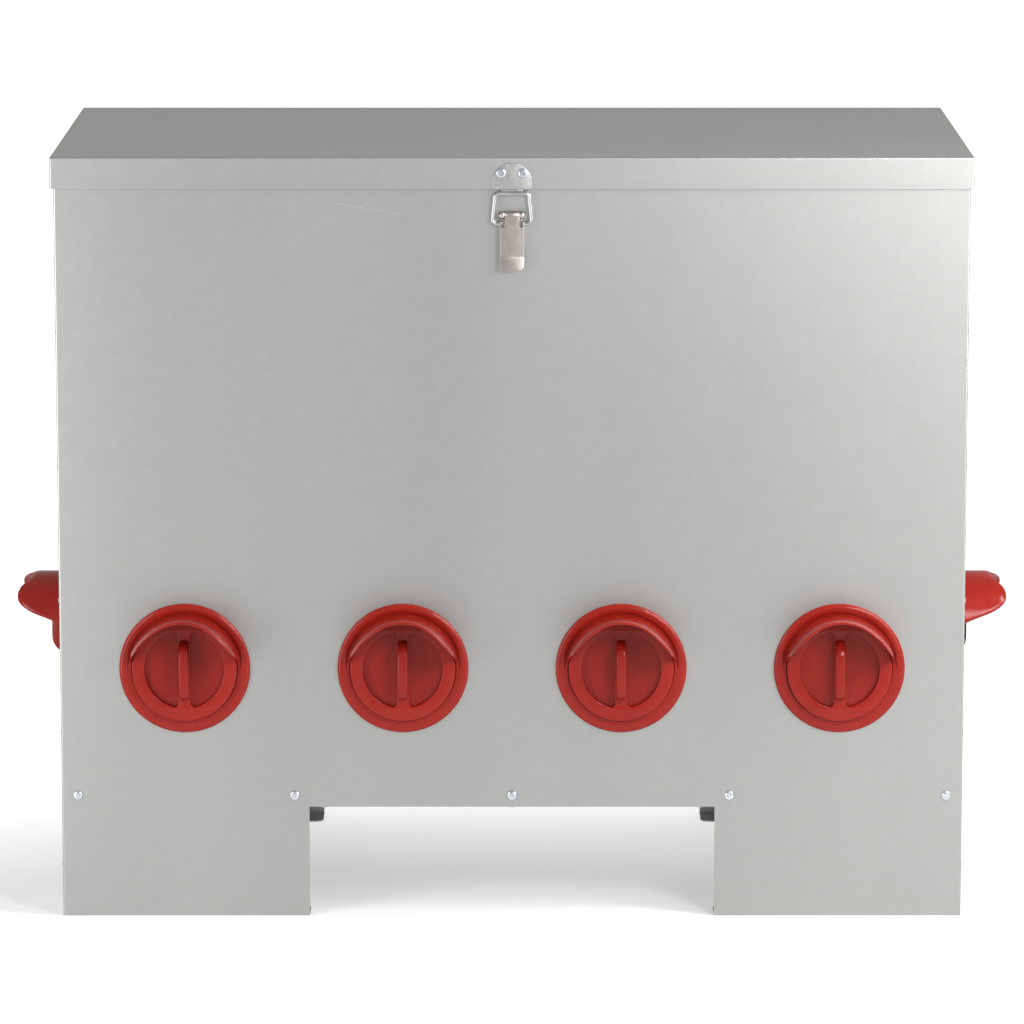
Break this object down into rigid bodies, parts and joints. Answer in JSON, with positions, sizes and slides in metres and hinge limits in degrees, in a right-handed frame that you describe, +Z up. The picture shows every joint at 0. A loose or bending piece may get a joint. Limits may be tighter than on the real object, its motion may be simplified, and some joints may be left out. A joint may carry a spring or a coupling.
{
  "type": "gravity poultry feeder",
  "caption": "Free-standing galvanised hopper on folded legs, with hinged lid, toggle latch, and moulded feeding ports with rain hoods and turn-out plugs.",
  "frame": {"origin": "on the ground under the middle of the body", "axes": "+X to the right as seen from the front, +Y towards the hinged back, +Z up; the latch faces -Y"},
  "size_m": [0.9018, 0.4964, 0.68],
  "materials": {
    "galvanised_sheet": "hot-dip galvanised and skin-passed sheet, satin grey",
    "rivet_steel": "zinc-plated steel",
    "zinc_screws": "bright blue-white zinc-plated steel",
    "nickelled_steel": "nickel-plated steel, satin with bright bends",
    "red_plastic": "glossy moulded polypropylene, brick red",
    "black_plastic": "glossy moulded polypropylene, black",
    "seal_rubber": "matt black rubber"
  },
  "bodies": {
    "hopper": {"front_panel": "galvanised_sheet", "back_panel": "galvanised_sheet", "left_side_panel": "galvanised_sheet", "right_side_panel": "galvanised_sheet", "floor_pan": "galvanised_sheet", "feed_ridge": "galvanised_sheet", "hinge_body_leaf": "galvanised_sheet", "hinge_pin": "rivet_steel", "hinge_body_rivets": "rivet_steel", "seam_rivets": "rivet_steel", "floor_wall_screws": "zinc_screws", "floor_cutout_screws": "zinc_screws", "feed_ridge_screws": "zinc_screws", "latch_base": "nickelled_steel", "latch_base_rivets": "rivet_steel", "latch_lever_pin": "nickelled_steel", "front_port_lock_rings": "red_plastic", "back_port_lock_rings": "red_plastic", "side_port_lock_rings": "red_plastic", "front_port_1": "red_plastic", "front_port_2": "red_plastic", "front_port_3": "red_plastic", "front_port_4": "red_plastic", "back_port_1": "red_plastic", "back_port_2": "red_plastic", "back_port_3": "red_plastic", "back_port_4": "red_plastic", "left_port": "red_plastic", "right_port": "red_plastic"},
    "lid": {"lid_panel": "galvanised_sheet", "hinge_lid_leaf": "galvanised_sheet", "hinge_lid_rivets": "rivet_steel", "latch_keeper": "nickelled_steel", "keeper_screws": "zinc_screws"},
    "latch_lever": {"latch_lever": "nickelled_steel"},
    "latch_bail": {"latch_bail": "nickelled_steel"},
    "front_port_1_plug_seal": {"front_port_1_plug_seal": "seal_rubber"},
    "front_port_1_plug": {"front_port_1_plug": "red_plastic"},
    "front_port_2_plug_seal": {"front_port_2_plug_seal": "seal_rubber"},
    "front_port_2_plug": {"front_port_2_plug": "red_plastic"},
    "front_port_3_plug_seal": {"front_port_3_plug_seal": "seal_rubber"},
    "front_port_3_plug": {"front_port_3_plug": "red_plastic"},
    "front_port_4_plug_seal": {"front_port_4_plug_seal": "seal_rubber"},
    "front_port_4_plug": {"front_port_4_plug": "red_plastic"},
    "back_port_1_plug_seal": {"back_port_1_plug_seal": "seal_rubber"},
    "back_port_1_plug": {"back_port_1_plug": "red_plastic"},
    "back_port_2_plug_seal": {"back_port_2_plug_seal": "seal_rubber"},
    "back_port_2_plug": {"back_port_2_plug": "red_plastic"},
    "back_port_3_plug_seal": {"back_port_3_plug_seal": "seal_rubber"},
    "back_port_3_plug": {"back_port_3_plug": "red_plastic"},
    "back_port_4_plug_seal": {"back_port_4_plug_seal": "seal_rubber"},
    "back_port_4_plug": {"back_port_4_plug": "red_plastic"},
    "left_port_plug_seal": {"left_port_plug_seal": "seal_rubber"},
    "left_port_plug": {"left_port_plug": "red_plastic"},
    "right_port_plug_seal": {"right_port_plug_seal": "seal_rubber"},
    "right_port_plug": {"right_port_plug": "black_plastic"}
  },
  "joints": [
    {"name": "lid_hinge", "type": "hinge", "parent": "hopper", "child": "lid", "pos_m": [0, 0.1996, 0.6485], "axis": [-1, 0, 0], "range_deg": [0, 165]},
    {"name": "latch_lever_hinge", "type": "hinge", "parent": "hopper", "child": "latch_lever", "pos_m": [0, -0.1997, 0.6295], "axis": [-1, 0, 0], "range_deg": [0, 120]},
    {"name": "latch_bail_hinge", "type": "hinge", "parent": "latch_lever", "child": "latch_bail", "pos_m": [0, -0.1999, 0.622], "axis": [-1, 0, 0], "range_deg": [-150, 0]},
    {"name": "front_port_1_plug_pull", "type": "slide", "parent": "hopper", "child": "front_port_1_plug_seal", "axis": [0, -1, 0], "range_m": [0, 0.08]},
    {"name": "front_port_1_plug_turn", "type": "hinge", "parent": "front_port_1_plug_seal", "child": "front_port_1_plug", "pos_m": [-0.2895, -0.1965, 0.2256], "axis": [0, -1, 0], "range_deg": [0, 90]},
    {"name": "front_port_2_plug_pull", "type": "slide", "parent": "hopper", "child": "front_port_2_plug_seal", "axis": [0, -1, 0], "range_m": [0, 0.08]},
    {"name": "front_port_2_plug_turn", "type": "hinge", "parent": "front_port_2_plug_seal", "child": "front_port_2_plug", "pos_m": [-0.0965, -0.1965, 0.2256], "axis": [0, -1, 0], "range_deg": [0, 90]},
    {"name": "front_port_3_plug_pull", "type": "slide", "parent": "hopper", "child": "front_port_3_plug_seal", "axis": [0, -1, 0], "range_m": [0, 0.08]},
    {"name": "front_port_3_plug_turn", "type": "hinge", "parent": "front_port_3_plug_seal", "child": "front_port_3_plug", "pos_m": [0.0965, -0.1965, 0.2256], "axis": [0, -1, 0], "range_deg": [0, 90]},
    {"name": "front_port_4_plug_pull", "type": "slide", "parent": "hopper", "child": "front_port_4_plug_seal", "axis": [0, -1, 0], "range_m": [0, 0.08]},
    {"name": "front_port_4_plug_turn", "type": "hinge", "parent": "front_port_4_plug_seal", "child": "front_port_4_plug", "pos_m": [0.2895, -0.1965, 0.2256], "axis": [0, -1, 0], "range_deg": [0, 90]},
    {"name": "back_port_1_plug_pull", "type": "slide", "parent": "hopper", "child": "back_port_1_plug_seal", "axis": [0, 1, 0], "range_m": [0, 0.08]},
    {"name": "back_port_1_plug_turn", "type": "hinge", "parent": "back_port_1_plug_seal", "child": "back_port_1_plug", "pos_m": [0.2895, 0.1965, 0.2256], "axis": [0, 1, 0], "range_deg": [0, 90]},
    {"name": "back_port_2_plug_pull", "type": "slide", "parent": "hopper", "child": "back_port_2_plug_seal", "axis": [0, 1, 0], "range_m": [0, 0.08]},
    {"name": "back_port_2_plug_turn", "type": "hinge", "parent": "back_port_2_plug_seal", "child": "back_port_2_plug", "pos_m": [0.0965, 0.1965, 0.2256], "axis": [0, 1, 0], "range_deg": [0, 90]},
    {"name": "back_port_3_plug_pull", "type": "slide", "parent": "hopper", "child": "back_port_3_plug_seal", "axis": [0, 1, 0], "range_m": [0, 0.08]},
    {"name": "back_port_3_plug_turn", "type": "hinge", "parent": "back_port_3_plug_seal", "child": "back_port_3_plug", "pos_m": [-0.0965, 0.1965, 0.2256], "axis": [0, 1, 0], "range_deg": [0, 90]},
    {"name": "back_port_4_plug_pull", "type": "slide", "parent": "hopper", "child": "back_port_4_plug_seal", "axis": [0, 1, 0], "range_m": [0, 0.08]},
    {"name": "back_port_4_plug_turn", "type": "hinge", "parent": "back_port_4_plug_seal", "child": "back_port_4_plug", "pos_m": [-0.2895, 0.1965, 0.2256], "axis": [0, 1, 0], "range_deg": [0, 90]},
    {"name": "left_port_plug_pull", "type": "slide", "parent": "hopper", "child": "left_port_plug_seal", "axis": [-1, 0, 0], "range_m": [0, 0.08]},
    {"name": "left_port_plug_turn", "type": "hinge", "parent": "left_port_plug_seal", "child": "left_port_plug", "pos_m": [-0.3992, 0, 0.2256], "axis": [-1, 0, 0], "range_deg": [0, 90]},
    {"name": "right_port_plug_pull", "type": "slide", "parent": "hopper", "child": "right_port_plug_seal", "axis": [1, 0, 0], "range_m": [0, 0.08]},
    {"name": "right_port_plug_turn", "type": "hinge", "parent": "right_port_plug_seal", "child": "right_port_plug", "pos_m": [0.3992, 0, 0.2256], "axis": [1, 0, 0], "range_deg": [0, 90]}
  ],
  "couplings": [
    {"joint": "latch_bail_hinge", "follows": "latch_lever_hinge", "ratio": -1.25}
  ]
}
